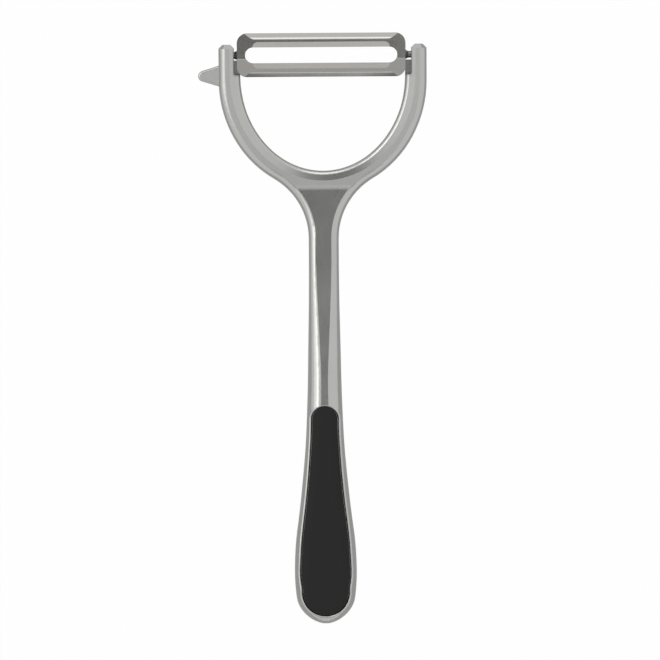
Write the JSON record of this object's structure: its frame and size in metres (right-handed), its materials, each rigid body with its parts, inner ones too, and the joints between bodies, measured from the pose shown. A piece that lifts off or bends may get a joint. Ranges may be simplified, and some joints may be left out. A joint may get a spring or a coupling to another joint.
{
  "type": "vegetable peeler",
  "caption": "Y-shaped vegetable peeler with a swinging double-edged blade, an eye remover on one arm and soft inlays in its tapered grip.",
  "frame": {"origin": "middle of the flat rear pad of the grip, in the plane that the peeler lies on", "axes": "+Z out of the front, +Y along the handle toward the blade, +X to the right as seen from the front"},
  "size_m": [0.0679, 0.1758, 0.0135],
  "materials": {
    "cast_metal": "satin",
    "blade_steel": "semi-bright",
    "soft_grip": "matte",
    "core_plastic": "matte"
  },
  "bodies": {
    "frame": {"y_frame": "cast_metal", "front_grip_pad": "soft_grip", "front_grip_core": "core_plastic", "rear_grip_pad": "soft_grip", "rear_grip_core": "core_plastic"},
    "blade": {"blade": "blade_steel"}
  },
  "joints": [
    {"name": "blade_swing", "type": "hinge", "parent": "frame", "child": "blade", "pos_m": [0, 0.1357, 0.01005], "axis": [-1, 0, 0], "range_deg": [0, 118]}
  ]
}
